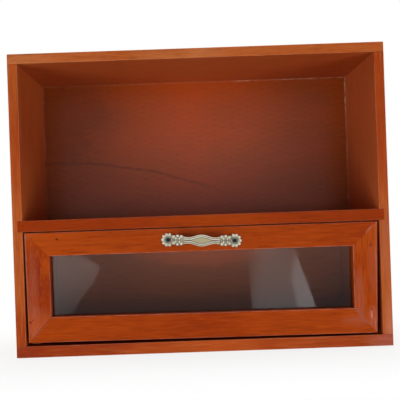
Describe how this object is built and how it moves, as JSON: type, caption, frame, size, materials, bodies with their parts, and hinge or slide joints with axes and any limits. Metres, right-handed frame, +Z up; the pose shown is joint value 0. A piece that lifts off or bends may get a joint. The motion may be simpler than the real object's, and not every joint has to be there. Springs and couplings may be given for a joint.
{
  "type": "tabletop chest with drawer",
  "caption": "Small tabletop wooden chest: open compartment over a fixed shelf, and under it a sliding drawer with a mitred glazed front and a cast bow pull.",
  "frame": {"origin": "middle of the case's footprint, on the surface it stands on", "axes": "+Z up, the front with the drawer faces -Y, +X to the right seen from the front"},
  "size_m": [0.3, 0.1385, 0.242],
  "materials": {
    "case_wood": "satin red-brown stain",
    "front_wood": "satin red-brown stain",
    "back_sheet": "stained sheet",
    "box_wood": "thin stain",
    "window_glass": "clear, polished",
    "pull_metal": "antiqued cast",
    "screw_steel": "blackened",
    "brad_steel": "galvanised"
  },
  "bodies": {
    "cabinet": {"top_panel": "case_wood", "bottom_panel": "case_wood", "left_side": "case_wood", "right_side": "case_wood", "shelf": "case_wood", "back_panel": "back_sheet", "case_brads": "brad_steel", "back_staples": "brad_steel"},
    "drawer": {"front_top_rail": "front_wood", "front_bottom_rail": "front_wood", "front_left_stile": "front_wood", "front_right_stile": "front_wood", "window_pane": "window_glass", "bead_top": "box_wood", "bead_bottom": "box_wood", "bead_left": "box_wood", "bead_right": "box_wood", "front_brads": "brad_steel", "handle": "pull_metal", "handle_screws": "screw_steel", "drawer_left_side": "box_wood", "drawer_right_side": "box_wood", "drawer_back": "box_wood", "drawer_bottom": "box_wood", "box_brads": "brad_steel"}
  },
  "joints": [
    {"name": "drawer_slide", "type": "slide", "parent": "cabinet", "child": "drawer", "axis": [0, -1, 0], "range_m": [0, 0.085]}
  ]
}
